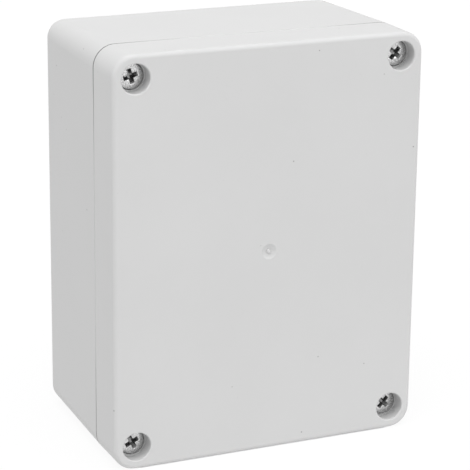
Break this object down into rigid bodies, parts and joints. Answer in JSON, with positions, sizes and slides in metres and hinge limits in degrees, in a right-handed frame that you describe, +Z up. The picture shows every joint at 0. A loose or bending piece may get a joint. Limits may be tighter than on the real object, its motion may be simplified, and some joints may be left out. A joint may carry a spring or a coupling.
{
  "type": "junction box",
  "caption": "Small rectangular grey plastic junction box with a deep screw-down lid, a cord seal, brass-threaded corner pillars and wall fixing holes outside the seal.",
  "frame": {"origin": "middle of the lower edge box, on the surface that the box stands on", "axes": "+Z up along the longest side, -Y out of the lid's face, +Y out of the back, +X to the right as the lid is seen"},
  "size_m": [0.09, 0.055, 0.115],
  "materials": {
    "grey_abs": "light grey moulded ABS, fine satin grain",
    "seal_rubber": "dark extruded cord seal",
    "insert_brass": "turned and knurled brass",
    "plated_steel": "bright plated steel"
  },
  "bodies": {
    "base": {"base": "grey_abs", "insert_top_left": "insert_brass", "insert_top_right": "insert_brass", "insert_bottom_left": "insert_brass", "insert_bottom_right": "insert_brass"},
    "lid": {"lid": "grey_abs", "gasket": "seal_rubber"},
    "screw_top_left": {"lid_screw_top_left": "plated_steel"},
    "screw_top_right": {"lid_screw_top_right": "plated_steel"},
    "screw_bottom_left": {"lid_screw_bottom_left": "plated_steel"},
    "screw_bottom_right": {"lid_screw_bottom_right": "plated_steel"}
  },
  "joints": [
    {"name": "lid_lift", "type": "slide", "parent": "base", "child": "lid", "axis": [0, -1, 0], "range_m": [0, 0.06]},
    {"name": "screw_top_left_out", "type": "slide", "parent": "lid", "child": "screw_top_left", "axis": [0, -1, 0], "range_m": [0, 0.03]},
    {"name": "screw_top_right_out", "type": "slide", "parent": "lid", "child": "screw_top_right", "axis": [0, -1, 0], "range_m": [0, 0.03]},
    {"name": "screw_bottom_left_out", "type": "slide", "parent": "lid", "child": "screw_bottom_left", "axis": [0, -1, 0], "range_m": [0, 0.03]},
    {"name": "screw_bottom_right_out", "type": "slide", "parent": "lid", "child": "screw_bottom_right", "axis": [0, -1, 0], "range_m": [0, 0.03]}
  ]
}
